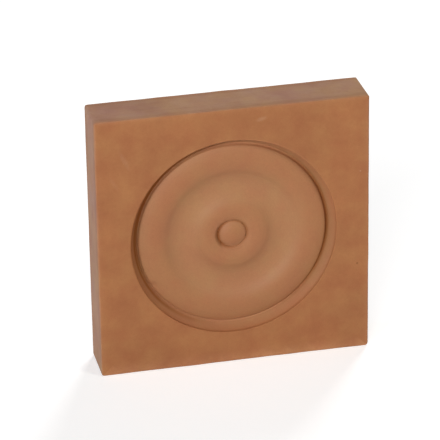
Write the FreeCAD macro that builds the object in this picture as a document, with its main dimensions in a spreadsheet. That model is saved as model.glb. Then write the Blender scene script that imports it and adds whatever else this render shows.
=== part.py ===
import FreeCAD, Part
import os
import Sketcher

# Corner rosette block: the square of raw fibreboard that joins two casings at the corner of a
# door or window. It is one solid, sawn from sheet, with its arrises eased by sanding. A profile
# cutter turning about the middle of the face cuts the bullseye rosette: a domed button in a
# narrow moat, a ring, a cove, and a broad bead that ends in a deep groove under a sloping wall.
#
# Millimetres. The origin is the middle of the back face, which lies on the wall. +Z is up, the
# back faces +Y and the rosette faces -Y.

NODE = "rosette_block"
PARTS_FOLDER = "parts"

# Driving dimensions. Offsets run outwards from the rosette's axis, each from the feature before
# it. Depths run from the face into the block. The ring's brow is where its crest turns over into
# the moat, the bead's edge is where it breaks off into the groove, and the drop of each runs down
# from the crest.
SIZES = {
    "block_side": 100.0,
    "block_thickness": 18.0,
    "arris_radius": 0.6,
    "button_radius": 5.0,
    "button_height": 0.4,
    "crown_rise": 1.6,
    "button_foot_depth": 3.8,
    "ring_brow_offset": 1.4,
    "ring_brow_drop": 0.45,
    "ring_offset": 2.9,
    "ring_depth": 2.4,
    "cove_offset": 9.4,
    "cove_depth": 5.0,
    "cove_width": 10.9,
    "bead_offset": 9.8,
    "bead_depth": 2.2,
    "bead_edge_offset": 6.0,
    "bead_edge_drop": 1.45,
    "groove_offset": 0.6,
    "groove_depth": 5.2,
    "wall_offset": 2.8,
    "shoulder_depth": 1.0,
}

# Places that follow from the driving dimensions, each worked out in a cell of its own.
FORMULAS = {
    "button_rim_depth": "=button_foot_depth - button_height",
    "crown_depth": "=button_rim_depth - crown_rise",
    "ring_brow_reach": "=button_radius + ring_brow_offset",
    "ring_brow_depth": "=ring_depth + ring_brow_drop",
    "ring_reach": "=ring_brow_reach + ring_offset",
    "cove_reach": "=ring_reach + cove_offset",
    "cove_half": "=cove_width / 2",
    "bead_reach": "=cove_reach + bead_offset",
    "bead_edge_reach": "=bead_reach + bead_edge_offset",
    "bead_edge_depth": "=bead_depth + bead_edge_drop",
    "groove_reach": "=bead_edge_reach + groove_offset",
    "rim_reach": "=groove_reach + wall_offset",
}

# Sketcher's numbers for the points of a piece of geometry, and for the sketch's own axes
START, END, CENTRE = range(1, 4)
ROOT, UPRIGHT_AXIS = range(-1, -3, -1)


def add_sheet(doc):
    """The sheet of sizes, one alias to a row. Sketches and features read these cells."""
    sheet = doc.addObject("Spreadsheet::Sheet", "Sizes")
    rows = {name: str(value) for name, value in SIZES.items()}
    rows.update(FORMULAS)
    for row, (name, text) in enumerate(rows.items(), start=1):
        sheet.set(f"A{row}", name)
        sheet.set(f"B{row}", text)
        sheet.setAlias(f"B{row}", name)
    doc.recompute()
    return sheet


def add_sketch(body, name, role):
    """An empty sketch on the body's own origin plane of that role."""
    sketch = body.newObject("Sketcher::SketchObject", name)
    plane = next(f for f in body.Origin.OriginFeatures if f.Role == role)
    sketch.AttachmentSupport = [(plane, "")]
    sketch.MapMode = "FlatFace"
    return sketch


def bind(sketch, kind, places, cell):
    """Adds a constraint of this kind whose value is a cell of the sheet."""
    value = float(getattr(sketch.Document.Sizes, cell))
    index = sketch.addConstraint(Sketcher.Constraint(kind, *places, value))
    sketch.setExpression(f"Constraints[{index}]", f"Sizes.{cell}")


def tie(sketch, kind, *places):
    """Adds a constraint that has no value, such as Coincident or Vertical."""
    sketch.addConstraint(Sketcher.Constraint(kind, *places))


def line(sketch, start, end):
    """A line of the sketch between two points."""
    return sketch.addGeometry(Part.LineSegment(start, end), False)


def arc(sketch, start, end, square_at, upright=FreeCAD.Vector(0, 1)):
    """An arc from start to end that runs square to the upright through one of them.

    Its centre lies on that upright. With the upright as given, the arc lies level there.
    """
    here, other = (start, end) if square_at == START else (end, start)
    chord = other - here
    reach = upright * (chord.dot(chord) / (2 * chord.dot(upright)))
    circle = Part.Circle(here + reach, FreeCAD.Vector(0, 0, 1), reach.Length)
    first, last = circle.parameter(start), circle.parameter(end)
    return sketch.addGeometry(Part.ArcOfCircle(circle, first, last), False)


def spoke(sketch, curve, point):
    """From a point on an arc of the sketch to the arc's centre."""
    return sketch.Geometry[curve].Center - point


def draw_square(sketch):
    """The block's outline: a square about the origin."""
    half = float(sketch.Document.Sizes.block_side) / 2
    corners = [
        FreeCAD.Vector(x * half, y * half)
        for x, y in ((-1, -1), (1, -1), (1, 1), (-1, 1))
    ]
    bottom, right, top, left = (
        line(sketch, corners[i], corners[(i + 1) % len(corners)]) for i in range(len(corners))
    )
    sides = (bottom, right, top, left)
    for side, following in zip(sides, sides[1:] + sides[:1]):
        tie(sketch, "Coincident", side, END, following, START)
    tie(sketch, "Horizontal", bottom)
    tie(sketch, "Horizontal", top)
    tie(sketch, "Vertical", right)
    tie(sketch, "Vertical", left)
    tie(sketch, "Equal", bottom, right)
    tie(sketch, "Symmetric", bottom, START, top, START, ROOT, START)
    bind(sketch, "DistanceX", (bottom, START, bottom, END), "block_side")


def between(first, last, share):
    """The point a share of the way from one point to another."""
    return first + (last - first) * share


def draw_profile(sketch):
    """Half of the rosette's section, from its axis to the rim, as the cutter's edge draws it.

    The face is the line that depths are measured from. Every crest and floor is a point where
    two arcs lie level, and the cove passes into the ring and the bead in smooth S-curves. At
    the ring's brow a tighter arc rolls on into the moat, while the bead's side is straight.
    """
    sizes = sketch.Document.Sizes

    def at(reach, depth):
        return FreeCAD.Vector(reach, depth - float(sizes.block_thickness))

    face_middle, rim = at(0, 0), at(float(sizes.rim_reach), 0)
    crown = at(0, float(sizes.crown_depth))
    button_rim = at(float(sizes.button_radius), float(sizes.button_rim_depth))
    button_foot = at(float(sizes.button_radius), float(sizes.button_foot_depth))
    ring_brow = at(float(sizes.ring_brow_reach), float(sizes.ring_brow_depth))
    ring_crest = at(float(sizes.ring_reach), float(sizes.ring_depth))
    cove_floor = at(float(sizes.cove_reach), float(sizes.cove_depth))
    bead_crest = at(float(sizes.bead_reach), float(sizes.bead_depth))
    bead_edge = at(float(sizes.bead_edge_reach), float(sizes.bead_edge_depth))
    groove_floor = at(float(sizes.groove_reach), float(sizes.groove_depth))
    shoulder = at(float(sizes.rim_reach), float(sizes.shoulder_depth))
    # An S-curve of two arcs, level at both ends, turns over on the straight line between them.
    cove_half = float(sizes.cove_half)
    inner_turn = between(cove_floor, ring_crest, cove_half / float(sizes.cove_offset))
    outer_turn = between(cove_floor, bead_crest, cove_half / float(sizes.bead_offset))

    face_line = line(sketch, face_middle, rim)
    axis_line = line(sketch, face_middle, crown)
    dome = arc(sketch, crown, button_rim, START)
    button_side = line(sketch, button_rim, button_foot)
    ring_inside = arc(sketch, ring_brow, ring_crest, END)
    ring_roll = arc(sketch, button_foot, ring_brow, END, spoke(sketch, ring_inside, ring_brow))
    ring_outside = arc(sketch, ring_crest, inner_turn, START)
    cove_inside = arc(sketch, cove_floor, inner_turn, START)
    cove_outside = arc(sketch, outer_turn, cove_floor, END)
    bead_inside = arc(sketch, outer_turn, bead_crest, END)
    bead_outside = arc(sketch, bead_crest, bead_edge, START)
    bead_side = line(sketch, bead_edge, groove_floor)
    wall = line(sketch, groove_floor, shoulder)
    shoulder_side = line(sketch, shoulder, rim)

    tie(sketch, "PointOnObject", face_line, START, UPRIGHT_AXIS)
    tie(sketch, "Horizontal", face_line)
    tie(sketch, "Coincident", axis_line, START, face_line, START)
    tie(sketch, "Coincident", axis_line, END, dome, START)
    tie(sketch, "Vertical", axis_line)
    tie(sketch, "PointOnObject", dome, CENTRE, UPRIGHT_AXIS)
    tie(sketch, "Coincident", dome, END, button_side, START)
    tie(sketch, "Vertical", button_side)
    tie(sketch, "Coincident", button_side, END, ring_roll, START)
    tie(sketch, "Tangent", ring_roll, END, ring_inside, START)
    tie(sketch, "Coincident", ring_inside, END, ring_outside, START)
    tie(sketch, "Tangent", ring_outside, END, cove_inside, END)
    tie(sketch, "Coincident", cove_inside, START, cove_outside, END)
    tie(sketch, "Tangent", cove_outside, START, bead_inside, START)
    tie(sketch, "Coincident", bead_inside, END, bead_outside, START)
    tie(sketch, "Coincident", bead_outside, END, bead_side, START)
    tie(sketch, "Coincident", bead_side, END, wall, START)
    tie(sketch, "Coincident", wall, END, shoulder_side, START)
    tie(sketch, "Coincident", shoulder_side, END, face_line, END)
    tie(sketch, "Vertical", shoulder_side)
    for curve, level_end in (
        (ring_inside, END),
        (ring_outside, START),
        (cove_inside, START),
        (cove_outside, END),
        (bead_inside, END),
        (bead_outside, START),
    ):
        tie(sketch, "Vertical", curve, CENTRE, curve, level_end)

    bind(sketch, "DistanceY", (face_line, START, ROOT, START), "block_thickness")
    for curve, end, reach, depth in (
        (button_side, START, "button_radius", "button_rim_depth"),
        (ring_inside, START, "ring_brow_reach", "ring_brow_depth"),
        (ring_inside, END, "ring_reach", "ring_depth"),
        (cove_inside, START, "cove_reach", "cove_depth"),
        (bead_inside, END, "bead_reach", "bead_depth"),
        (bead_outside, END, "bead_edge_reach", "bead_edge_depth"),
        (wall, START, "groove_reach", "groove_depth"),
        (wall, END, "rim_reach", "shoulder_depth"),
    ):
        bind(sketch, "DistanceX", (face_line, START, curve, end), reach)
        bind(sketch, "DistanceY", (face_line, START, curve, end), depth)
    bind(sketch, "DistanceY", (face_line, START, dome, START), "crown_depth")
    bind(sketch, "DistanceY", (face_line, START, button_side, END), "button_foot_depth")
    bind(sketch, "DistanceX", (cove_inside, END, cove_inside, START), "cove_half")
    bind(sketch, "DistanceX", (cove_outside, END, cove_outside, START), "cove_half")


def make_block(doc):
    """The block: a square pad with eased arrises, and the rosette turned out of its face."""
    body = doc.addObject("PartDesign::Body", "RosetteBlock")
    body.Label = NODE

    outline = add_sketch(body, "Outline", "XZ_Plane")
    draw_square(outline)
    block = body.newObject("PartDesign::Pad", "Block")
    block.Profile = outline
    block.setExpression("Length", "Sizes.block_thickness")
    doc.recompute()

    eased = body.newObject("PartDesign::Fillet", "EasedArrises")
    eased.Base = (block, [f"Edge{i}" for i in range(1, len(block.Shape.Edges) + 1)])
    eased.setExpression("Radius", "Sizes.arris_radius")
    doc.recompute()

    profile = add_sketch(body, "RosetteProfile", "XY_Plane")
    draw_profile(profile)
    rosette = body.newObject("PartDesign::Groove", "Rosette")
    rosette.Profile = profile
    rosette.ReferenceAxis = (profile, ["V_Axis"])
    rosette.Angle = 360
    doc.recompute()
    if rosette.Shape.Volume >= eased.Shape.Volume:
        raise RuntimeError("the rosette cut nothing out of the block")
    return body


def check(doc, body):
    """Stops unless every object recomputed, every sketch is fully set and the solid is sound."""
    for thing in doc.Objects:
        if {"Invalid", "Error"} & set(thing.State):
            raise RuntimeError(f"{thing.Name} failed: {thing.State}")
    for sketch in doc.findObjects("Sketcher::SketchObject"):
        if sketch.solve() != 0 or not sketch.FullyConstrained:
            raise RuntimeError(f"{sketch.Name} isn't fully set by the sizes")
    if body.Shape.isNull() or not body.Shape.isValid() or len(body.Shape.Solids) != 1:
        raise RuntimeError(f"{body.Label} isn't one sound solid")


def main():
    doc = FreeCAD.newDocument("CornerRosetteBlock")
    add_sheet(doc)
    body = make_block(doc)
    check(doc, body)
    os.makedirs(PARTS_FOLDER, exist_ok=True)
    body.Shape.exportStep(os.path.join(PARTS_FOLDER, f"{body.Label}.step"))
    box = body.Shape.BoundBox
    print(f"{body.Label}: {box.XLength:.2f} x {box.YLength:.2f} x {box.ZLength:.2f} mm")
    print(f"front at y {box.YMin:.2f}, back at y {box.YMax:.2f}, {body.Shape.Volume:.0f} mm3")


main()
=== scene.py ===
# %% [markdown]
# # A corner rosette block in raw fibreboard
# The block is one square piece of fibreboard with a round rosette cut into its face. Joiners set
# it where two casings meet at the corner of a door. This lesson dresses the plain solid from the
# frame: it makes a finer skin with worn edges, gives each kind of surface its own finish, and
# sets the floor, the light and the camera.

# %% Load the frame
import math

import bpy
import numpy as np
from mathutils import Matrix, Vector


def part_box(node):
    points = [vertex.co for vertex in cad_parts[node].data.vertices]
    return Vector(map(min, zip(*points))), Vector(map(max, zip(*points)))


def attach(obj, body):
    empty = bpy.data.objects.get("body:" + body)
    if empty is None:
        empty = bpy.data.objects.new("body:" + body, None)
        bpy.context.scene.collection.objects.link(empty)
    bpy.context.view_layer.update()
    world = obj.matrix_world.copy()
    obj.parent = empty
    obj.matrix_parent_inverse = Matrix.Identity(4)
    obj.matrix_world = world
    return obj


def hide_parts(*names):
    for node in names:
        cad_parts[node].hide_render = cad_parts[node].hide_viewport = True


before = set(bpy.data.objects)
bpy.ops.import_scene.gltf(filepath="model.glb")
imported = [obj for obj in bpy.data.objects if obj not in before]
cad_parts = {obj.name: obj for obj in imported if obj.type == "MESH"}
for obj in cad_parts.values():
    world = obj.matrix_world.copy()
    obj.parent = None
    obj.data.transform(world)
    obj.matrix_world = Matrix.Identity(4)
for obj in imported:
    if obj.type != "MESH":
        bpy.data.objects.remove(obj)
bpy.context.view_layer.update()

MM = 0.001
low, high = (np.array(corner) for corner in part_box("rosette_block"))
HALF_SIDE = (high[0] - low[0]) / 2
FACE_Y, BACK_Y = low[1], high[1]
print(f"block {2 * HALF_SIDE / MM:.1f} mm square, {(BACK_Y - FACE_Y) / MM:.1f} mm thick")

# %% [markdown]
# ## The turned section
# On the real block a profile cutter turns about the middle of the face, so the rosette is one
# section carried round an axis. From the middle outwards it is a domed button in a narrow moat, a
# ring, a wide cove, and a broad bead that breaks off into a deep groove under a sloping wall. A
# stack of tori could stand for it, but their joins would never be smooth. Here the section is a
# chain of points, each a distance from the axis and a depth below the face, joined by arcs and
# lines.

# %% Points of the section
def at(reach, depth):
    """A point of the section in metres, from its reach and depth in millimetres."""
    return np.array([reach, depth]) * MM


CROWN = at(0, 1.8)
BUTTON_RIM = at(5.0, 3.4)
BUTTON_FOOT = at(5.0, 3.8)
RING_BROW = at(6.4, 2.85)
RING = at(9.3, 2.4)
COVE = at(18.7, 5.0)
BEAD = at(28.5, 2.2)
BEAD_EDGE = at(34.5, 3.65)
GROOVE = at(35.1, 5.2)
SHOULDER = at(37.9, 1.0)
RIM = at(37.9, 0)
LAP = at(38.5, 0)
COVE_HALF = 5.45 * MM
GROOVE_ROUND = 0.5 * MM
print(f"rosette {2 * RIM[0] / MM:.1f} mm across, {GROOVE[1] / MM:.1f} mm deep")

# %% [markdown]
# ### Arcs that pass into each other
# An arc is square to the line from its end to its centre. So an arc that lies level at a crest has
# its centre straight above or below, and two arcs that meet smoothly have both centres on one
# line through the meeting point. Two level arcs make an S-curve, which turns over on the straight
# line between its ends. A crest and its brow make a roll: a broad arc, then a tighter one. The
# groove's floor is an arc too, as round as the tip of the cutter, that touches both its sides.

# %% Arcs
ARC_POINTS = 200
UPRIGHT = np.array([0.0, 1.0])


def centre_of(here, other, upright):
    """Centre of the arc from here to other that runs square to the upright through here: along
    the upright by the chord's length squared over twice the chord's run along the upright."""
    chord = other - here
    return here + upright * (chord @ chord) / (2 * chord @ upright)


def arc(here, other, centre):
    """The spoke from the centre to here, turned in equal steps until it reaches other."""
    first, last = (complex(*(end - centre)) for end in (here, other))
    turn = np.linspace(0, np.angle(last / first), ARC_POINTS)
    spoke = first * np.exp(1j * turn)
    return centre + np.stack([spoke.real, spoke.imag], axis=1)


print(f"{ARC_POINTS} points to an arc")

# %% Rolls, S-curves and rounded corners
def roll(crest, brow, end):
    """A level arc from the crest to its brow, and one that leaves the brow with no kink."""
    broad = centre_of(crest, brow, UPRIGHT)
    tight = centre_of(brow, end, broad - brow)
    return np.vstack([arc(crest, brow, broad), arc(brow, end, tight)])


def s_curve(start, end, share):
    """Two level arcs, the first covering this share of the straight line from start to end."""
    turn = start + (end - start) * share
    halves = [arc(level, turn, centre_of(level, turn, UPRIGHT)) for level in (start, end)]
    return np.vstack([halves[0], halves[1][::-1]])


def rounded(corner, before, after, radius):
    """The arc of this radius that touches both sides of a corner. It touches each at the radius
    over the tangent of half the corner's angle, and its centre lies on the line that halves it."""
    sides = [(end - corner) / np.linalg.norm(end - corner) for end in (before, after)]
    half_angle = math.acos(sides[0] @ sides[1]) / 2
    first, last = (corner + side * radius / math.tan(half_angle) for side in sides)
    middle = (sides[0] + sides[1]) / np.linalg.norm(sides[0] + sides[1])
    return arc(first, last, corner + middle * radius / math.sin(half_angle))


groove_floor = rounded(GROOVE, BEAD_EDGE, SHOULDER, GROOVE_ROUND)
print(f"the groove's floor is {(groove_floor[-1, 0] - groove_floor[0, 0]) / MM:.2f} mm wide")

# %% Chain the section
section = np.vstack([
    arc(CROWN, BUTTON_RIM, centre_of(CROWN, BUTTON_RIM, UPRIGHT)),
    np.linspace(BUTTON_RIM, BUTTON_FOOT, ARC_POINTS),
    roll(RING, RING_BROW, BUTTON_FOOT)[::-1],
    s_curve(RING, COVE, 1 - COVE_HALF / (COVE[0] - RING[0])),
    s_curve(COVE, BEAD, COVE_HALF / (BEAD[0] - COVE[0])),
    arc(BEAD, BEAD_EDGE, centre_of(BEAD, BEAD_EDGE, UPRIGHT)),
    np.linspace(BEAD_EDGE, groove_floor[0], ARC_POINTS),
    groove_floor,
    np.linspace(groove_floor[-1], SHOULDER, ARC_POINTS),
    np.linspace(SHOULDER, RIM, ARC_POINTS),
    np.linspace(RIM, LAP, ARC_POINTS),
])
print(f"section of {len(section)} points, {section[:, 1].max() / MM:.1f} mm deep")

# %% [markdown]
# ### Blunt corners
# Fibreboard never holds a knife edge: the cutter and a rub of sandpaper leave every corner a
# little round. A bevel modifier would round them all by one width and leave a seam where it ends.
# Averaging the section over a short stretch of its own length rounds each corner by what it needs
# and leaves the smooth curves as they are. The section is then divided again, with more stations
# where it bends.

# %% Blunt the corners
FINE_STEP = 0.01 * MM
BLUNT_LENGTH = 0.85 * MM


def along(points):
    """Distance run along a chain of points, starting at zero."""
    return np.append(0, np.cumsum(np.hypot(*np.diff(points, axis=0).T)))


def divide(points, run, stops):
    """The chain's points at the given distances along it."""
    return np.stack([np.interp(stops, run, points[:, i]) for i in range(2)], axis=1)


def blunted(points):
    """Each point becomes the mean of the chain over BLUNT_LENGTH, weighed most in the middle. The
    chain is mirrored across the axis at its inner end and carried straight on at its outer."""
    run = along(points)
    even = divide(points, run, np.arange(0, run[-1], FINE_STEP))
    half = round(BLUNT_LENGTH / FINE_STEP / 2)
    inner = even[half:0:-1] * [-1, 1]
    outer = even[-1] + (even[-1] - even[-half - 1:-1])[::-1]
    padded = np.vstack([inner, even, outer])
    kernel = np.hanning(2 * half + 3)[1:-1]
    kernel /= kernel.sum()
    return np.stack([np.convolve(padded[:, i], kernel, "valid") for i in range(2)], axis=1)


soft = blunted(section)
print(f"{len(soft)} points after blunting")

# %% Divide the section again
SECTION_STATIONS = 150
BEND_WEIGHT = 0.6 * MM

soft_run = along(soft)
heading = np.unwrap(np.arctan2(*np.gradient(soft, axis=0).T))
bend = np.abs(np.gradient(heading)) / FINE_STEP
effort = np.cumsum(1 + BEND_WEIGHT * bend)
effort_share = (effort - effort[0]) / (effort[-1] - effort[0])
stations = np.interp(np.linspace(0, 1, SECTION_STATIONS), effort_share, soft_run)
turned_section = divide(soft, soft_run, stations)[1:]
print(f"{len(turned_section)} stations, closest {np.diff(stations).min() / MM:.2f} mm apart")

# %% [markdown]
# ## The square carried round with it
# Outside the rim the rings have to become square. The flat could be one big face with a hole, but
# long thin triangles shade badly. So the rings are carried on and change their form as they go. A
# rounded square is a plain square, drawn in by the corner's radius, and pushed out again by that
# radius along its outward direction. Both templates are worked out once for all the spokes, so
# every later loop is one line of arithmetic.

# %% Spokes round the axis
SIDE_SPOKES = 84
CORNER_SPOKES = 7

side_angle = np.linspace(-math.pi / 4, math.pi / 4, SIDE_SPOKES)
corner_angle = np.linspace(0, math.pi / 2, CORNER_SPOKES + 2)[1:-1]
frame_quarter = np.vstack([
    np.stack([np.ones(SIDE_SPOKES), np.tan(side_angle)], axis=1),
    np.ones((CORNER_SPOKES, 2)),
])
push_quarter = np.vstack([
    np.tile([1.0, 0.0], (SIDE_SPOKES, 1)),
    np.stack([np.cos(corner_angle), np.sin(corner_angle)], axis=1),
])


def four_times(quarter):
    """The quarter and its three copies, each turned on by a right angle."""
    quarter_turn = np.array([[0, 1], [-1, 0]])
    return np.vstack([quarter @ np.linalg.matrix_power(quarter_turn, i) for i in range(4)])


square_frame, square_push = four_times(frame_quarter), four_times(push_quarter)
spokes = len(square_frame)
print(f"{spokes} spokes")

# %% [markdown]
# ## Worn arrises and corners
# The long edges were eased by hand, so the rounding isn't even: it swells and shrinks a little
# along each side. A bevel would be too regular. A few sine waves round the block, with whole
# numbers of waves so that the ends meet, give that unevenness. The four corners are worn too, the
# lower right one the most, and between two corners the radius passes from one to the other. All of
# it stays inside the solid.

# %% Arris and corner radius at every spoke
ARRIS_RADIUS = 0.55 * MM
ARRIS_UNEVEN = 0.22
ARRIS_LIMITS = (-0.45, 0.6)
WAVES = np.array([3, 7, 11, 19, 31])
TOP_RIGHT, TOP_LEFT, BOTTOM_LEFT, BOTTOM_RIGHT = np.array([0.25, 0.2, 0.3, 0.9]) * MM
WEAR_SEED = 7
rng = np.random.default_rng(WEAR_SEED)
spoke_turn = np.linspace(0, 2 * math.pi, spokes, endpoint=False)


def uneven(size):
    """A radius for each spoke: size times 1 plus five sine waves of falling height."""
    phase = rng.uniform(0, 2 * math.pi, len(WAVES))
    height = ARRIS_UNEVEN / np.sqrt(np.arange(1, len(WAVES) + 1))
    swell = (height[:, None] * np.sin(WAVES[:, None] * spoke_turn + phase[:, None])).sum(axis=0)
    return size * (1 + np.clip(swell, *ARRIS_LIMITS))


def passing(ends):
    """From the first corner's radius evenly to the second's along one side, then held there."""
    first, last = ends
    return np.append(np.linspace(first, last, SIDE_SPOKES), np.full(CORNER_SPOKES, last))


front_arris, back_arris = uneven(ARRIS_RADIUS), uneven(ARRIS_RADIUS)
corners = [BOTTOM_RIGHT, TOP_RIGHT, TOP_LEFT, BOTTOM_LEFT, BOTTOM_RIGHT]
corner_radius = np.concatenate([passing(ends) for ends in zip(corners, corners[1:])])
print(f"arris radius {front_arris.min() / MM:.2f} to {front_arris.max() / MM:.2f} mm")

# %% [markdown]
# ## One skin for the whole block
# The block is one piece of board, so it gets one skin. A box and a rosette could be joined by a
# boolean, but that leaves slivers along the join. This skin is a grid. One way it runs round the
# spokes, the other way it runs from the middle of the face, over the rosette, across the flat,
# round the front arris, back along the sawn edges, round the back arris and in to the middle of
# the back.

# %% Loops round the block
def eased_steps(count):
    """Shares from 0 to 1, packed closer at both ends: (1 - cos(pi i / n)) / 2."""
    return (1 - np.cos(np.linspace(0, math.pi, count))) / 2


def loop(arris, turn):
    """The rounded square where the arris has turned over by this angle from the flat."""
    inner = HALF_SIDE - arris - corner_radius
    outer = corner_radius + arris * math.sin(turn)
    return square_frame * inner[:, None] + square_push * outer[:, None]


def place(plan, depth_y):
    """Points in space from a plan of X and Z and a Y for each of them."""
    y = np.broadcast_to(depth_y, plan.shape[:-1])
    return np.stack([plan[..., 0], y, plan[..., 1]], axis=-1)


front_edge, back_edge = loop(front_arris, 0), loop(back_arris, 0)
spoke_direction = front_edge / np.linalg.norm(front_edge, axis=1, keepdims=True)
print(f"the flat ends {np.abs(front_edge).max() / MM:.2f} mm from the axis")

# %% Rows of the grid
FLAT_ROWS, ARRIS_ROWS, EDGE_ROWS, BACK_ROWS = 36, 6, 16, 12

turned_plan = turned_section[:, 0, None, None] * spoke_direction
turned = place(turned_plan, FACE_Y + turned_section[:, 1, None])

flat_share = eased_steps(FLAT_ROWS)[1:, None, None]
flat_plan = turned_plan[-1] + (front_edge - turned_plan[-1]) * flat_share
flat = place(flat_plan, FACE_Y)

turns = np.linspace(0, math.pi / 2, ARRIS_ROWS)[1:]
front_round = np.stack([
    place(loop(front_arris, turn), FACE_Y + front_arris * (1 - math.cos(turn)))
    for turn in turns
])
back_round = np.stack([
    place(loop(back_arris, turn), BACK_Y - back_arris * (1 - math.cos(turn)))
    for turn in turns[::-1]
])
edge_share = eased_steps(EDGE_ROWS)[1:-1, None, None]
edge = front_round[-1] + (back_round[0] - front_round[-1]) * edge_share
back_share = np.linspace(1, 0, BACK_ROWS, endpoint=False)[:, None, None]
back = place(back_edge * back_share, BACK_Y)

parts = (turned, flat, front_round, edge, back_round, back)
rows = np.concatenate(parts)
print(f"grid of {rows.shape[0]} rows by {rows.shape[1]} spokes")

# %% [markdown]
# ## Chips and a wandering moat
# Two small chips show in the rosette: one out of the button's rim, low on its left, and one out of
# the bead where it turns into the groove. The moat isn't even either: it is cut deeper on the left
# and partly filled at the bottom. They could be carved in sculpt mode, but nobody could then read
# their sizes. Here each is a push into the block or out of it, most in the middle and fading
# outwards like a bell. The moat's pushes also fade with the angle round the axis.

# %% Push them in
# A chip's middle, reach and depth are in millimetres.
CHIPS = (
    {"middle": (-3.9, -3.8), "reach": 0.75, "depth": 0.45},
    {"middle": (-29.6, -17.0), "reach": 1.1, "depth": 0.45},
)
MOAT_MIDDLE, MOAT_HALF_WIDTH = 5.6 * MM, 0.6 * MM
MOAT_CUT, MOAT_FILL = 0.9 * MM, 0.5 * MM
CUT_SIDE = {"degrees": 190, "narrow": 1.5}
FILL_SIDE = {"degrees": 268, "narrow": 3}


def bell(away):
    """1 in the middle, fading outwards: e to the power of minus the square of the distance."""
    return np.exp(-away ** 2)


def facing(degrees, narrow):
    """How far each spoke points one way in the face, in degrees from the right towards the top:
    the cosine of the angle between, 0 past a right angle, raised to a power that narrows it."""
    way = np.array([math.cos(math.radians(degrees)), math.sin(math.radians(degrees))])
    return np.clip(spoke_direction @ way, 0, 1) ** narrow


pushed = rows[:len(turned)]
for chip in CHIPS:
    away = np.linalg.norm(turned[..., [0, 2]] - np.array(chip["middle"]) * MM, axis=-1)
    pushed[..., 1] += chip["depth"] * MM * bell(away / (chip["reach"] * MM))
moat_push = MOAT_CUT * facing(**CUT_SIDE) - MOAT_FILL * facing(**FILL_SIDE)
pushed[..., 1] += moat_push * bell((turned_section[:, 0, None] - MOAT_MIDDLE) / MOAT_HALF_WIDTH)
print(f"deepest point {(pushed[..., 1].max() - FACE_Y) / MM:.2f} mm below the face")

# %% [markdown]
# ## From grid to mesh
# Blender wants a list of points and a list of faces. Each cell of the grid is a quad, the last
# spoke joins the first, and a fan of triangles closes the skin at the middle of the face and of
# the back.

# %% Build the mesh
BLOCK_NAME = "fibreboard_block"


def grid_faces(row_count, spoke_count):
    """Quads between neighbouring rows and spokes, then a fan at each end about its own pole."""
    here = np.arange(row_count * spoke_count).reshape(row_count, spoke_count)
    onward = np.roll(here, -1, axis=1)
    quads = np.stack([here[:-1], here[1:], onward[1:], onward[:-1]], axis=-1).reshape(-1, 4)
    front_pole = np.full(spoke_count, row_count * spoke_count)
    back_pole = front_pole + 1
    front_fan = np.stack([front_pole, here[0], onward[0]], axis=-1)
    back_fan = np.stack([back_pole, onward[-1], here[-1]], axis=-1)
    return quads.tolist() + front_fan.tolist() + back_fan.tolist()


poles = np.array([[0, FACE_Y + CROWN[1], 0], [0, BACK_Y, 0]])
points = np.vstack([rows.reshape(-1, 3), poles])
mesh = bpy.data.meshes.new(BLOCK_NAME)
mesh.from_pydata(points.tolist(), [], grid_faces(*rows.shape[:2]))
mesh.polygons.foreach_set("use_smooth", np.ones(len(mesh.polygons), dtype=bool))
mesh.validate()
block = bpy.data.objects.new(BLOCK_NAME, mesh)
bpy.context.scene.collection.objects.link(block)
mesh_normals = np.empty(len(mesh.polygons) * 3)
mesh.polygons.foreach_get("normal", mesh_normals)
print(f"{len(mesh.polygons)} faces, the first looks {mesh_normals[1]:.2f} along Y")

# %% [markdown]
# ## Which surface is which
# The same board shows three surfaces. The face was pressed and sanded at the mill, the rosette
# was turned by the cutter and the edges were sawn. They could be three materials on three sets of
# faces, but the joins would be hard lines. Here each surface is a number from 0 to 1 at every
# point of the mesh, so one material can blend between them.

# %% Write the surfaces on the mesh
def write_share(name, values):
    """Stores one number for each row, or for each point of the grid, as an attribute."""
    grid = np.broadcast_to(values, rows.shape[:2])
    flat_values = np.append(grid.ravel(), [grid[0, 0], grid[-1, 0]])
    layer = mesh.attributes.new(name, "FLOAT", "POINT")
    layer.data.foreach_set("value", flat_values.astype(np.float32))
    print(f"{name}: mean {flat_values.mean():.3f}")


part_ends = np.cumsum([len(part) for part in parts])
turned_end, flat_end, front_round_end, edge_end, back_round_end = part_ends[:-1]

turned_share = np.zeros((len(rows), 1))
turned_share[:turned_end, 0] = turned_section[:, 0] < RIM[0]

turned_over = turns[:, None] / turns[-1]
sawn_share = np.zeros((len(rows), 1))
sawn_share[flat_end:front_round_end] = turned_over
sawn_share[front_round_end:edge_end] = 1
sawn_share[edge_end:back_round_end] = turned_over[::-1]

write_share("turned", turned_share)
write_share("sawn", sawn_share)

# %% [markdown]
# ### Painted shade in the creases
# Painted shade darkens the sloping wall at the upper left, more towards the groove, and the foot of
# that wall at the left. It darkens the groove on the right, the moat, and the corner under the
# shoulder low on the right too. It could be painted on the mesh by hand. But each of these follows a
# ring, so here it is a bell round one point of the section, strongest on the side where the shade
# lies.

# %% Darken the creases
WALL_FOOT_SHARE = 0.35
MOAT_STEP = at(0.5, 0)
wall_foot = GROOVE + WALL_FOOT_SHARE * (SHOULDER - GROOVE)
groove_middle = groove_floor[len(groove_floor) // 2]
moat_floor = BUTTON_FOOT + MOAT_STEP
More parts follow.
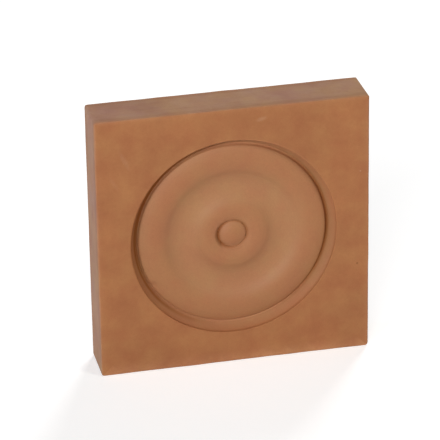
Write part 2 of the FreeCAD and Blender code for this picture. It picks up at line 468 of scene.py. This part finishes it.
# Reaches are in millimetres.
# Painted shade: each ring darkens the board where shade falls in the creases, strongest on one side.
SHADE_RINGS = (
    {"middle": groove_middle, "reach": 1.0, "strength": 0.7, "degrees": 0, "narrow": 2},
    {"middle": moat_floor, "reach": 0.7, "strength": 0.85, "degrees": 190, "narrow": 1},
    {"middle": moat_floor, "reach": 0.7, "strength": 0.45, "degrees": 10, "narrow": 1},
    {"middle": SHOULDER, "reach": 0.4, "strength": 0.15, "degrees": 295, "narrow": 2},
)
# Painted shade on the foot of the wall at the left and on the sloping wall at the upper left.
WALL_FOOT_SHADE = {"middle": wall_foot, "reach": 0.9, "strength": 0.85, "degrees": 170, "narrow": 1}
WALL_SHADE_SIDE = {"degrees": 155, "narrow": 2}
WALL_SHADE_LEAST, WALL_SHADE_GAIN, WALL_SHADE_CURVE = 0.25, 0.7, 1.5


def ring_mark(middle, reach, strength, degrees, narrow):
    """A mark that follows a ring: its strength, times a bell of the distance from one point of
    the section, times how far the spoke points its way."""
    away = np.linalg.norm(turned_section - middle, axis=1)[:, None]
    return strength * bell(away / (reach * MM)) * facing(degrees, narrow)


station_reach, station_depth = turned_section[:, :1], turned_section[:, 1:]
on_wall = (station_reach > GROOVE[0]) & (station_depth > 0)
deep = np.clip(station_depth / GROOVE[1], 0, 1)
# The sloping wall gets painted shade, most at the upper left and more towards the groove.
wall_side_shade = (WALL_SHADE_LEAST + WALL_SHADE_GAIN * deep ** WALL_SHADE_CURVE) * facing(**WALL_SHADE_SIDE)
wall_shade = on_wall * np.maximum(wall_side_shade, ring_mark(**WALL_FOOT_SHADE))
shade_ring_values = [ring_mark(**painted_shade) for painted_shade in SHADE_RINGS]
painted_shade_share = np.zeros(rows.shape[:2])
painted_shade_share[:turned_end] = np.maximum.reduce([wall_shade, *shade_ring_values])
write_share("painted_shade", painted_shade_share)

# %% [markdown]
# ### Worn edges and painted light
# Handling rubs the arrises paler. Along the bottom edge, on which the block stands, the face is paler
# in a wider band. Painted light lifts the rosette where it faces up: the rim at the top, the bead's
# outer side at the top and the groove at the bottom. Blender can find worn edges by itself, by how
# pointed the mesh is, but it would rub all of them alike. So the arrises go by the distance from the
# nearest edge of the block, and the painted light follows rings, as the painted shade does.

# %% Rub the edges and paint light on the rosette
ARRIS_RUB = 0.35
ARRIS_RUB_REACH, BOTTOM_PALE_REACH = 1.3 * MM, 3.0 * MM
# Painted light: these rings lift the rosette where it faces up.
PAINTED_LIGHT_RINGS = (
    {"middle": (RIM + SHOULDER) / 2, "reach": 0.6, "strength": 1.0, "degrees": 85, "narrow": 2},
    {"middle": (BEAD_EDGE + GROOVE) / 2, "reach": 0.8, "strength": 1.0, "degrees": 90, "narrow": 2},
    {"middle": groove_middle, "reach": 1.7, "strength": 0.45, "degrees": 270, "narrow": 4},
)

side_gap = HALF_SIDE - np.abs(rows[..., [0, 2]]).max(axis=-1)
skin_gap = np.minimum(rows[..., 1] - FACE_Y, BACK_Y - rows[..., 1])
arris_gap = side_gap + skin_gap
nearest_bottom = rows[..., 2] < -np.abs(rows[..., 0])
bottom_pale_band = bell(arris_gap / BOTTOM_PALE_REACH)
other_rub = ARRIS_RUB * bell(arris_gap / ARRIS_RUB_REACH)
rub_and_light_share = np.where(nearest_bottom, bottom_pale_band, other_rub)
# On the rosette the paler share is all painted light.
rub_and_light_share[:turned_end] = np.maximum.reduce([ring_mark(**ring) for ring in PAINTED_LIGHT_RINGS])
write_share("rub_and_painted_light", rub_and_light_share)

# %% [markdown]
# ## The fibreboard
# Raw fibreboard is brown all over, but not one brown. The press packs its two skins hard and
# dark, the core between them is looser and paler, and tiny fibres fleck all of it. A picture of
# real board would show a seam. A pattern in solid space has none, and a cut through it shows the
# same board inside: here the brown follows from the depth, so the cove comes out paler than the
# bead because it is cut deeper.

# %% Small helpers for shader nodes
def new_material(name):
    """An empty node material and its tree."""
    material = bpy.data.materials.new(name)
    material.use_nodes = True
    material.node_tree.nodes.clear()
    return material, material.node_tree


def feed(tree, socket, value):
    """Joins a socket to an input, or writes a plain value on it."""
    if isinstance(value, bpy.types.NodeSocket):
        tree.links.new(value, socket)
    else:
        socket.default_value = value


def add(tree, kind, settings=None, **inputs):
    """Adds a node. Settings are its own properties; inputs are values or sockets to join."""
    node = tree.nodes.new(kind)
    for key, value in (settings or {}).items():
        setattr(node, key, value)
    for key, value in inputs.items():
        feed(tree, node.inputs[key.replace("_", " ")], value)
    return node


print("helpers: new_material, feed, add")

# %% Arithmetic and blending with nodes
COLOUR_MIX_INPUTS, COLOUR_MIX_OUTPUT = (0, 6, 7), 2


def maths(tree, operation, first, *others):
    """Takes numbers or sockets, one after another, through the same step of arithmetic."""
    result = first
    for other in others:
        node = add(tree, "ShaderNodeMath", {"operation": operation})
        feed(tree, node.inputs[0], result)
        feed(tree, node.inputs[1], other)
        result = node.outputs[0]
    return result


def blend(tree, share, first, second, mode="MIX"):
    """Colour between first and second by share, which may be a number or a socket. A Mix node
    has sockets for every kind of data, so those for colours are found by their place."""
    node = add(tree, "ShaderNodeMix", {"data_type": "RGBA", "blend_type": mode})
    share_in, first_in, second_in = (node.inputs[i] for i in COLOUR_MIX_INPUTS)
    feed(tree, share_in, share)
    feed(tree, first_in, (*first, 1.0) if isinstance(first, tuple) else first)
    feed(tree, second_in, (*second, 1.0) if isinstance(second, tuple) else second)
    return node.outputs[COLOUR_MIX_OUTPUT]


def spread(tree, value, low_from, high_from, low_to, high_to, steps="LINEAR"):
    """Carries a range of values to another, and holds the ends."""
    node = add(tree, "ShaderNodeMapRange", {"interpolation_type": steps})
    for socket, item in zip(node.inputs, (value, low_from, high_from, low_to, high_to)):
        feed(tree, socket, item)
    return node.outputs[0]


print("helpers: maths, blend, spread")

# %% [markdown]
# ### Clouds, threads and rings
# Three patterns carry the board. Clouds are soft patches, where the pulp was a little wetter or
# finer. Threads are noise divided by a thread's own size, long one way and thin the other, so one
# helper makes the fibres on the face, the layers in a sawn edge and the marks of the saw. Rings
# are noise along the distance from the axis, left by the cutter as it turned.

# %% Patterns of the board
RING_PITCH = 0.45 * MM
RING_WANDER, WANDER_PATCH = 0.25, 6 * MM


def clouds(tree, where, patch):
    """Soft patches about this many metres across."""
    node = add(tree, "ShaderNodeTexNoise", Vector=where, Scale=1 / patch, Detail=3.0, Roughness=0.55)
    return node.outputs["Fac"]


def own_place(tree, where, size, turn_degrees=0.0, middle=(0, 0, 0)):
    """The place as a pattern sees it: from its own middle, in axes turned about Y, from X towards
    Z, and divided by its size along each."""
    node = add(
        tree, "ShaderNodeMapping", {"vector_type": "TEXTURE"},
        Vector=where,
        Location=middle,
        Rotation=(0, -math.radians(turn_degrees), 0),
        Scale=size,
    )
    return node.outputs[0]


def threads(tree, where, size, turn_degrees=0.0):
    """Noise divided by a size in X, Y and Z, in axes turned about Y."""
    thread_place = own_place(tree, where, size, turn_degrees)
    node = add(tree, "ShaderNodeTexNoise", Vector=thread_place, Scale=1.0, Detail=2.0, Roughness=0.6)
    return node.outputs["Fac"]


def length_of(tree, vector):
    """The square root of the sum of X, Y and Z squared."""
    node = add(tree, "ShaderNodeVectorMath", {"operation": "LENGTH"}, Vector=vector)
    return node.outputs["Value"]


def rings(tree, where):
    """Noise along the distance from the axis, the square root of X squared plus Z squared. A few
    wandering clouds keep the rings from being perfect."""
    parts_of = add(tree, "ShaderNodeSeparateXYZ", Vector=where).outputs
    flat_place = add(tree, "ShaderNodeCombineXYZ", X=parts_of["X"], Z=parts_of["Z"]).outputs[0]
    wander = maths(tree, "MULTIPLY", clouds(tree, where, WANDER_PATCH), RING_WANDER)
    turns_out = maths(tree, "DIVIDE", length_of(tree, flat_place), RING_PITCH)
    count = maths(tree, "ADD", turns_out, wander)
    node = add(tree, "ShaderNodeTexNoise", {"noise_dimensions": "1D"}, W=count, Scale=1.0, Detail=2.0)
    return node.outputs["Fac"]


print(f"rings {RING_PITCH / MM:.2f} mm apart")

# %% [markdown]
# ### Small marks
# A few marks lie on the face: a pale scuff near the top, pale rub lines at the upper left, and
# two specks near the right edge. They could be painted on a picture, but this material has none.
# Each is an ellipse instead: the place, taken in the mark's own axes and divided by its half
# length and half width, is less than 1 inside it. Noise frets its border.

# %% Marks on the face
# Middles, lengths and widths are in millimetres.
PALE_MARKS = (
    {"middle": (10.4, 45.2), "size": (5.4, 2.2), "turn_degrees": 14, "strength": 0.36},
    {"middle": (-39.4, 34.4), "size": (11.0, 2.4), "turn_degrees": -66, "strength": 0.18},
    {"middle": (-43.5, 26.0), "size": (8.0, 2.2), "turn_degrees": -60, "strength": 0.10},
    {"middle": (46.7, 20.9), "size": (1.0, 0.8), "turn_degrees": 0, "strength": 0.7},
)
DARK_MARKS = (
    {"middle": (45.7, -15.8), "size": (1.2, 0.8), "turn_degrees": 30, "strength": 0.7},
)
MARK_DEPTH = 1.0 * MM
MARK_FRET = 0.7 * MM
MARK_CORE = 0.2
NOISE_MIDDLE = 0.5


def mark(tree, where, middle, size, turn_degrees, strength):
    """How far inside one mark a place is: its strength in the middle, fading to 0 at the border."""
    half_length, half_width = (length * MM / 2 for length in size)
    x, z = (length * MM for length in middle)
    half_size = (half_length, MARK_DEPTH, half_width)
    away = length_of(tree, own_place(tree, where, half_size, turn_degrees, (x, FACE_Y, z)))
    fret = maths(tree, "SUBTRACT", clouds(tree, where, MARK_FRET), NOISE_MIDDLE)
    fretted = maths(tree, "ADD", away, fret)
    return spread(tree, fretted, MARK_CORE, 1.0, strength, 0.0, "SMOOTHSTEP")


print(f"{len(PALE_MARKS)} pale marks and {len(DARK_MARKS)} dark")

# %% [markdown]
# ### The browns
# Each colour below is the base colour of one part of the board, as it looks in plain light, but
# the brown for the creases is painted shade, and the pale brown for rubs is painted light where it
# lies on the rosette. One colour for each surface would be simpler, but a flat colour looks like
# paint. Here the skin passes into the core with the depth, and the rubs, the painted light, the
# marks and the painted shade lie over it.

# %% Colour of the board
SKIN_BROWN = (0.366, 0.148, 0.0610)
CORE_BROWN = (0.386, 0.177, 0.0780)
SAWN_SKIN = (0.338, 0.179, 0.107)
SAWN_CORE = (0.370, 0.204, 0.130)
# The next brown is painted shade for the creases. The one after it is paler wear on the arrises and
# painted light on the rosette.
SHADE_BROWN = (0.210, 0.055, 0.008)
RUB_AND_LIGHT_BROWN = (0.470, 0.210, 0.100)
PALE_BROWN = (0.480, 0.260, 0.150)
DARK_BROWN = (0.150, 0.060, 0.025)
SKIN_DEPTH, CORE_DEPTH = 1.2 * MM, 4.2 * MM
PALE_PATCH, PALE_LEAST = 4 * MM, 0.4
NOISE_RANGE = (0.3, 0.7)


def board_colour(tree, where, share):
    """Skin to core by the depth below the nearer skin, then sawn, given rubs and painted light,
    marked, and darkened by painted shade.
    """
    y = add(tree, "ShaderNodeSeparateXYZ", Vector=where).outputs["Y"]
    from_face, from_back = maths(tree, "SUBTRACT", y, FACE_Y), maths(tree, "SUBTRACT", BACK_Y, y)
    depth = maths(tree, "MINIMUM", from_face, from_back)
    core = spread(tree, depth, SKIN_DEPTH, CORE_DEPTH, 0.0, 1.0, "SMOOTHSTEP")
    colour = blend(tree, core, SKIN_BROWN, CORE_BROWN)
    colour = blend(tree, share["sawn"], colour, blend(tree, core, SAWN_SKIN, SAWN_CORE))
    # Wear on the arrises and painted light on the rosette make the board paler.
    pale_fret = spread(tree, clouds(tree, where, PALE_PATCH), *NOISE_RANGE, PALE_LEAST, 1.0)
    fretted_rub_and_light = maths(tree, "MULTIPLY", share["rub_and_painted_light"], pale_fret)
    colour = blend(tree, fretted_rub_and_light, colour, RUB_AND_LIGHT_BROWN)
    for spec in PALE_MARKS:
        colour = blend(tree, mark(tree, where, **spec), colour, PALE_BROWN)
    for spec in DARK_MARKS:
        colour = blend(tree, mark(tree, where, **spec), colour, DARK_BROWN)
    # Painted shade darkens the creases last.
    return blend(tree, share["painted_shade"], colour, SHADE_BROWN)


print(f"the core begins {SKIN_DEPTH / MM:.1f} mm below the skin")

# %% [markdown]
# ### Tones over the browns
# Real board is never even. Patches one or two centimetres wide are lighter or darker, and lean to
# red or to olive. On the sawn edges they lean to grey or to straw, and thin layers show. The cutter
# has burnished the rosette, so its patches are calmer. All this could be one picture, but then no
# part of it could be changed alone. Each tone here is a factor close to 1 by which the colour is
# multiplied, so any of them can be turned up, down or off.

# %% Tones of the board
FIBRE_SIZE, FIBRE_TURNS = (1.6 * MM, 0.22 * MM, 0.22 * MM), (12, 71, 133)
LAYER_SIZE = (14 * MM, 0.35 * MM, 14 * MM)
SAW_SIZE = (0.9 * MM, 25 * MM, 0.9 * MM)
BROAD_PATCH, MIDDLING_PATCH, SAWN_PATCH = 24 * MM, 9 * MM, 14 * MM
BROAD_TONE, MIDDLING_TONE, FELT_TONE, LAYER_TONE, RING_TONE = 0.07, 0.10, 0.07, 0.05, 0.01
TURNED_CALM = 0.45
FELT_RANGE, TIP_RANGE = (1.1, 1.9), (0.35, 0.65)
PLAIN = (1.0, 1.0, 1.0)
RED_TIP, OLIVE_TIP = (1.03, 0.98, 1.00), (0.97, 1.02, 1.00)
GREY_TIP, STRAW_TIP = (0.98, 0.98, 1.08), (1.02, 1.02, 0.92)


def board_patterns(tree, where):
    """The patterns that colour, relief and roughness share, by name."""
    fibres = [threads(tree, where, FIBRE_SIZE, turn) for turn in FIBRE_TURNS]
    return {
        "felt": maths(tree, "ADD", *fibres),
        "layers": threads(tree, where, LAYER_SIZE),
        "saw": threads(tree, where, SAW_SIZE),
        "rings": rings(tree, where),
        "broad": clouds(tree, where, BROAD_PATCH),
        "middling": clouds(tree, where, MIDDLING_PATCH),
        "sawn": clouds(tree, where, SAWN_PATCH),
    }


def swing(tree, pattern, usual_range, middle, amount):
    """Carries a pattern's usual range to a middle value, less and plus the amount."""
    return spread(tree, pattern, *usual_range, middle - amount, middle + amount)


def tip(tree, pattern, first, second):
    """Leans from one tint to another with a pattern."""
    return blend(tree, spread(tree, pattern, *TIP_RANGE, 0.0, 1.0), first, second)


def board_tones(tree, share, pattern):
    """The factors by which the board's colour is multiplied."""
    broad = swing(tree, pattern["broad"], NOISE_RANGE, 0.0, BROAD_TONE)
    middling = swing(tree, pattern["middling"], NOISE_RANGE, 0.0, MIDDLING_TONE)
    patches = maths(tree, "ADD", broad, middling)
    calm = spread(tree, share["turned"], 0.0, 1.0, 1.0, TURNED_CALM)
    layers = swing(tree, pattern["layers"], NOISE_RANGE, 1.0, LAYER_TONE)
    cut_rings = swing(tree, pattern["rings"], NOISE_RANGE, 1.0, RING_TONE)
    return [
        maths(tree, "ADD", maths(tree, "MULTIPLY", patches, calm), 1.0),
        swing(tree, pattern["felt"], FELT_RANGE, 1.0, FELT_TONE),
        blend(tree, share["sawn"], PLAIN, layers),
        blend(tree, share["sawn"], PLAIN, tip(tree, pattern["sawn"], GREY_TIP, STRAW_TIP)),
        blend(tree, share["turned"], PLAIN, cut_rings),
        tip(tree, pattern["middling"], RED_TIP, OLIVE_TIP),
    ]


print(f"fibres {FIBRE_SIZE[0] / MM:.1f} mm long, laid {len(FIBRE_TURNS)} ways")

# %% [markdown]
# ### Relief, roughness and sheen
# Up close the board feels of felt. The sawn edges are rougher, with saw marks and layers, and the
# rosette is smoother, with fine rings and a little more sheen. Fibres could be modelled one by
# one, but they are thinner than a pixel. So they only tilt the shading, by a bump from the same
# patterns as the tones: a fibre that stands proud is also paler. The sheen fades where painted
# shade darkens the creases.

# %% Relief, roughness and sheen of the board
RELIEF = 0.06 * MM
FELT_HEIGHT, RING_HEIGHT, SAW_HEIGHT, LAYER_HEIGHT = 0.33, 0.25, 1.0, 0.8
FELT_ROUGHNESS, BROAD_ROUGHNESS = (0.60, 0.72), 0.04
TURNED_ROUGHNESS, SAWN_ROUGHNESS = -0.10, 0.18
FACE_SHEEN, TURNED_SHEEN = 0.12, 0.30
SHADE_DULLING = 0.5


def board_relief(tree, share, pattern):
    """A bump of felt everywhere, rings where it was turned, saw marks and layers where sawn."""
    height = maths(
        tree, "ADD",
        maths(tree, "MULTIPLY", pattern["felt"], FELT_HEIGHT),
        maths(tree, "MULTIPLY", pattern["rings"], share["turned"], RING_HEIGHT),
        maths(tree, "MULTIPLY", pattern["saw"], share["sawn"], SAW_HEIGHT),
        maths(tree, "MULTIPLY", pattern["layers"], share["sawn"], LAYER_HEIGHT),
    )
    node = add(tree, "ShaderNodeBump", Strength=1.0, Distance=RELIEF, Height=height)
    return node.outputs[0]


def board_roughness(tree, share, pattern):
    """The felt's roughness, less where turned, more where sawn, and moved a little by patches."""
    return maths(
        tree, "ADD",
        spread(tree, pattern["felt"], *FELT_RANGE, *FELT_ROUGHNESS),
        maths(tree, "MULTIPLY", share["turned"], TURNED_ROUGHNESS),
        maths(tree, "MULTIPLY", share["sawn"], SAWN_ROUGHNESS),
        swing(tree, pattern["broad"], NOISE_RANGE, 0.0, BROAD_ROUGHNESS),
    )


def board_sheen(tree, share):
    """The face's sheen passing to the rosette's, and fading out where painted shade darkens the
    creases.
    """
    clean = spread(tree, share["turned"], 0.0, 1.0, FACE_SHEEN, TURNED_SHEEN)
    dulling = spread(tree, share["painted_shade"], 0.0, SHADE_DULLING, 1.0, 0.0)
    return maths(tree, "MULTIPLY", clean, dulling)


print(f"relief of {RELIEF / MM:.2f} mm")

# %% [markdown]
# ### Put the material together
# One material carries the whole block. The four numbers on the mesh say which surface is which, where
# wear and painted light make it paler and where painted shade makes it darker. The patterns are
# placed by the block's own coordinates, so they stay with it when it moves.

# %% Make the fibreboard
def make_fibreboard():
    """The board's colour times its tones, with its relief, roughness and sheen."""
    material, tree = new_material("raw_fibreboard")
    where = add(tree, "ShaderNodeTexCoord").outputs["Object"]
    # Two of the four numbers paint shade and light: the third is painted shade, the fourth is wear on
    # the arrises and painted light on the rosette.
    share = {
        name: add(tree, "ShaderNodeAttribute", {"attribute_name": name}).outputs["Fac"]
        for name in ("turned", "sawn", "painted_shade", "rub_and_painted_light")
    }
    pattern = board_patterns(tree, where)
    colour = board_colour(tree, where, share)
    for tone in board_tones(tree, share, pattern):
        colour = blend(tree, 1.0, colour, tone, "MULTIPLY")
    surface = add(
        tree, "ShaderNodeBsdfPrincipled",
        Base_Color=colour,
        Roughness=board_roughness(tree, share, pattern),
        Specular_IOR_Level=board_sheen(tree, share),
        Normal=board_relief(tree, share, pattern),
    )
    add(tree, "ShaderNodeOutputMaterial", Surface=surface.outputs[0])
    return material


mesh.materials.append(make_fibreboard())
print(f"material {mesh.materials[0].name}")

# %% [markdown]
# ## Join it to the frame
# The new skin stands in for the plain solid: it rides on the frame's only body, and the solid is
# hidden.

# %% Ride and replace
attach(block, "root")
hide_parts("rosette_block")
print(f"{block.name} stands for rosette_block")

# %% [markdown]
# ## The floor
# The block stands on a wide white floor. Lit plainly the floor would come out pale grey, and
# brighter lamps would bleach the block. So a little glow, which only the camera, mirrors and glass
# see, lifts it to white. The glow lights nothing, and the block's shadow still falls on the floor.

# %% Make the floor
FLOOR_HALF = 6.0
FLOOR_WHITE = (0.80, 0.80, 0.80)
FLOOR_GLOW = 0.45


def seen_directly(tree):
    """1 where the camera, a mirror or glass looks, and 0 where light is gathered."""
    path = add(tree, "ShaderNodeLightPath").outputs
    kinds = ("Is Camera Ray", "Is Glossy Ray", "Is Transmission Ray")
    return maths(tree, "MAXIMUM", *(path[kind] for kind in kinds))


def make_floor():
    """A white square at the block's foot."""
    floor_mesh = bpy.data.meshes.new("floor")
    signs = ((-1, -1), (1, -1), (1, 1), (-1, 1))
    outline = [(x * FLOOR_HALF, y * FLOOR_HALF, low[2]) for x, y in signs]
    floor_mesh.from_pydata(outline, [], [(0, 1, 2, 3)])
    material, tree = new_material("white_floor")
    matt = add(tree, "ShaderNodeBsdfDiffuse", Color=(*FLOOR_WHITE, 1.0))
    glow_level = maths(tree, "MULTIPLY", seen_directly(tree), FLOOR_GLOW)
    glow = add(tree, "ShaderNodeEmission", Strength=glow_level)
    both = add(tree, "ShaderNodeAddShader")
    tree.links.new(matt.outputs[0], both.inputs[0])
    tree.links.new(glow.outputs[0], both.inputs[1])
    add(tree, "ShaderNodeOutputMaterial", Surface=both.outputs[0])
    floor_mesh.materials.append(material)
    floor = bpy.data.objects.new("floor", floor_mesh)
    bpy.context.scene.collection.objects.link(floor)
    return floor


make_floor()
print(f"floor at z {low[2] / MM:.1f} mm")

# %% [markdown]
# ## The room
# Walls and ceiling send a little light back from all round. They could be built, but the photo
# shows none of them. So the world itself glows: weakly where it lights the block, and white where
# the camera looks past the floor.

# %% Light the room
ROOM_LIGHT = 0.10


def make_room():
    """Even light from all round, which the camera sees as white."""
    world = bpy.data.worlds.new("room")
    world.use_nodes = True
    tree = world.node_tree
    tree.nodes.clear()
    lit = spread(tree, seen_directly(tree), 0.0, 1.0, ROOM_LIGHT, 1.0)
    glow = add(tree, "ShaderNodeBackground", Color=(1, 1, 1, 1), Strength=lit)
    add(tree, "ShaderNodeOutputWorld", Surface=glow.outputs[0])
    return world


bpy.context.scene.world = make_room()
print(f"room light {ROOM_LIGHT:.2f} of white")

# %% [markdown]
# ## Soft lamps
# The photo's shading says where its light was. The left edge is bright and greyish, so a cool lamp
# stands at the left. The face is bright too, more on the flanks that turn to the left, so two stand
# in front and to the left, with a weaker warm one at the right. The top edge needs one from behind.
# One picture of a sky could light it all, but a lamp can be turned and dimmed by itself until the
# shading agrees. A lamp's level is how bright it makes a white card that faces it, with 1 for
# white, so its power is the level times pi squared times its distance squared.

# %% Set the lamps
LAMP_DISTANCE = 2.0
LAMP_SIZE = 0.5
WARM, WHITE, COOL = (1.04, 0.99, 0.88), (1.00, 1.00, 1.00), (0.80, 1.00, 1.36)
LAMPS = {
    "key_lamp": {"azimuth_degrees": -45, "elevation_degrees": 19, "level": 0.375, "tint": WHITE},
    "front_lamp": {"azimuth_degrees": -20, "elevation_degrees": 27, "level": 0.3, "tint": WHITE},
    "left_lamp": {"azimuth_degrees": -90, "elevation_degrees": 8, "level": 0.235, "tint": COOL},
    "back_lamp": {"azimuth_degrees": 150, "elevation_degrees": 50, "level": 0.42, "tint": WHITE},
    "fill_lamp": {"azimuth_degrees": 46, "elevation_degrees": 36, "level": 0.237, "tint": WARM},
}
print(f"{len(LAMPS)} lamps, {LAMP_DISTANCE:.1f} m away")

# %% Aim at the block
def direction(azimuth_degrees, elevation_degrees):
    """A unit step from the block: azimuth runs from the front to the right, elevation upwards."""
    azimuth, elevation = math.radians(azimuth_degrees), math.radians(elevation_degrees)
    return np.array([
        math.sin(azimuth) * math.cos(elevation),
        -math.cos(azimuth) * math.cos(elevation),
        math.sin(elevation),
    ])


def aimed(towards, distance, roll_degrees=0.0, slide=(0.0, 0.0)):
    """A placing that looks back at the origin from this direction. Its columns are right, up and
    towards, rolled about the last, and slide moves it along the first two."""
    level_right = np.cross([0, 0, 1], towards)
    level_right /= np.linalg.norm(level_right)
    level_up = np.cross(towards, level_right)
    tilt = math.radians(roll_degrees)
    right = level_right * math.cos(tilt) + level_up * math.sin(tilt)
    up = level_up * math.cos(tilt) - level_right * math.sin(tilt)
    placing = np.eye(4)
    placing[:3, :3] = np.stack([right, up, towards], axis=1)
    placing[:3, 3] = towards * distance + right * slide[0] + up * slide[1]
    return Matrix(placing.tolist())


print(f"the front lies {direction(0, 0)[1]:.0f} along Y")

# %% Make the lamps
def make_lamp(name, azimuth_degrees, elevation_degrees, level, tint):
    """A square lamp that faces the block and isn't seen itself."""
    lamp_data = bpy.data.lights.new(name, "AREA")
    lamp_data.size = LAMP_SIZE
    lamp_data.color = tint
    lamp_data.energy = level * math.pi ** 2 * LAMP_DISTANCE ** 2
    lamp = bpy.data.objects.new(name, lamp_data)
    lamp.visible_camera = False
    bpy.context.scene.collection.objects.link(lamp)
    lamp.matrix_world = aimed(direction(azimuth_degrees, elevation_degrees), LAMP_DISTANCE)
    return lamp


lamps = [make_lamp(name, **setting) for name, setting in LAMPS.items()]
print(f"{len(lamps)} lamps, {sum(lamp.data.energy for lamp in lamps):.0f} W in all")

# %% [markdown]
# ## The photo's camera
# The camera could be set by eye, but the block's edges and the rosette's circle in the photo give
# it more closely: a long lens, a little to the left and rather more than a quarter of a right angle
# above. The photo is stretched sideways by a few parts in a hundred, which no camera does, so this
# one splits the difference. The picture's middle isn't quite the block's middle, so the camera
# slides left and down by the few pixels between them.

# %% Place the camera
PICTURE_PIXELS = 440
FOCAL_PIXELS = 3000
VIEW_DEGREES = (-12.453, 25.080)
VIEW_ROLL = -0.906
VIEW_DISTANCE = 1.0945
ORIGIN_PIXEL = (223.42, 216.98)

metres_per_pixel = VIEW_DISTANCE / FOCAL_PIXELS
middle = PICTURE_PIXELS / 2
slide = (
    (middle - ORIGIN_PIXEL[0]) * metres_per_pixel,
    (ORIGIN_PIXEL[1] - middle) * metres_per_pixel,
)

camera_data = bpy.data.cameras.new("camera")
camera_data.lens = camera_data.sensor_width * FOCAL_PIXELS / PICTURE_PIXELS
camera = bpy.data.objects.new("camera", camera_data)
bpy.context.scene.collection.objects.link(camera)
camera.matrix_world = aimed(direction(*VIEW_DEGREES), VIEW_DISTANCE, VIEW_ROLL, slide)
bpy.context.scene.camera = camera
bpy.context.scene.view_settings.view_transform = "Standard"
print(f"lens {camera_data.lens:.1f} mm")

# %% [markdown]
# ## Finish
# The scene is brought up to date. The dressed block has to stay inside the solid's box.

# %% Update the scene
bpy.context.view_layer.update()
